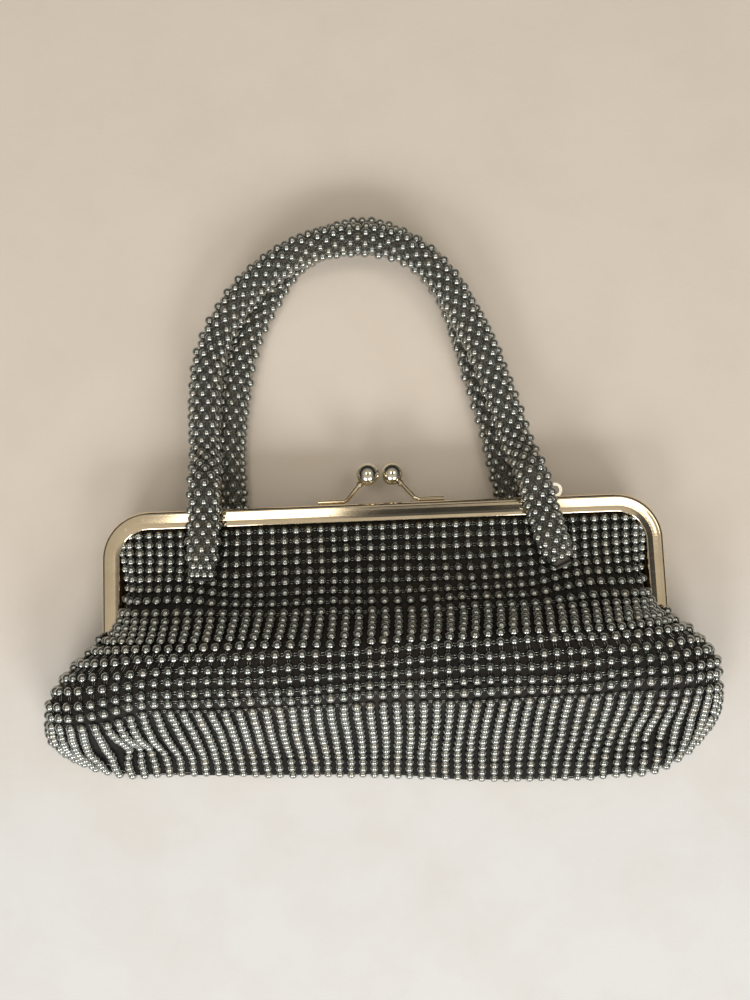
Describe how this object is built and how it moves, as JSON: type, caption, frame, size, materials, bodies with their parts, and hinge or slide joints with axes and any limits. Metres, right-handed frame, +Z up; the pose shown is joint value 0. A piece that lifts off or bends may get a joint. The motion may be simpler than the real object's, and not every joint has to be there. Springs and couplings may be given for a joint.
{
  "type": "kiss lock frame purse",
  "caption": "Beaded evening purse on a hinged metal frame with a crossed ball catch and two beaded rope handles, lying on its back.",
  "frame": {"origin": "centre of the purse's outline on the table it lies on, on its back", "axes": "+X along the frame's rail to the right, +Y towards the mouth, the catch and the handles, +Z up from the table, out of the front panel"},
  "size_m": [0.2434, 0.2113, 0.0424],
  "materials": {
    "frame_metal": "polished pale champagne plating",
    "ball_metal": "mirror polished plating",
    "rivet_metal": "plated steel",
    "loop_metal": "polished pale plating",
    "bead_metal": "polished gunmetal",
    "rope_bead_metal": "polished gunmetal",
    "black_cloth": "matt woven lining",
    "core_cloth": "stuffed grey brown cloth tube",
    "binding_thread": "wound dark thread",
    "paper_cord": "twisted paper cord"
  },
  "bodies": {
    "rear_half": {"rear_frame": "frame_metal", "rear_channel_cord": "paper_cord", "rear_lock_arm": "frame_metal", "rear_lock_ball": "ball_metal", "left_hinge_rivet": "rivet_metal", "right_hinge_rivet": "rivet_metal", "left_chain_loop": "loop_metal", "right_chain_loop": "loop_metal", "pouch_bead_net": "bead_metal", "pouch_lining": "black_cloth", "back_bead_panel": "bead_metal", "back_lining": "black_cloth"},
    "front_half": {"front_frame": "frame_metal", "front_channel_cord": "paper_cord", "front_lock_arm": "frame_metal", "front_lock_ball": "ball_metal", "front_bead_panel": "bead_metal", "front_lining": "black_cloth"},
    "front_handle": {"front_handle_core": "core_cloth", "front_handle_net": "rope_bead_metal", "front_handle_stitches": "binding_thread"},
    "rear_handle": {"rear_handle_core": "core_cloth", "rear_handle_net": "rope_bead_metal", "rear_handle_stitches": "binding_thread"}
  },
  "joints": [
    {"name": "frame_open", "type": "hinge", "parent": "rear_half", "child": "front_half", "pos_m": [0.0018, -0.05725, 0.01425], "axis": [1, 0, 0], "range_deg": [0, 80], "deforming": ["front_bead_panel", "front_lining"]},
    {"name": "front_handle_swing", "type": "hinge", "parent": "front_half", "child": "front_handle", "pos_m": [0.0018, -0.02625, 0.0276], "axis": [1, 0, 0], "range_deg": [0, 95]},
    {"name": "rear_handle_swing", "type": "hinge", "parent": "rear_half", "child": "rear_handle", "pos_m": [0.0018, -0.02625, 0.0036], "axis": [1, 0, 0], "range_deg": [-140, 0]}
  ]
}
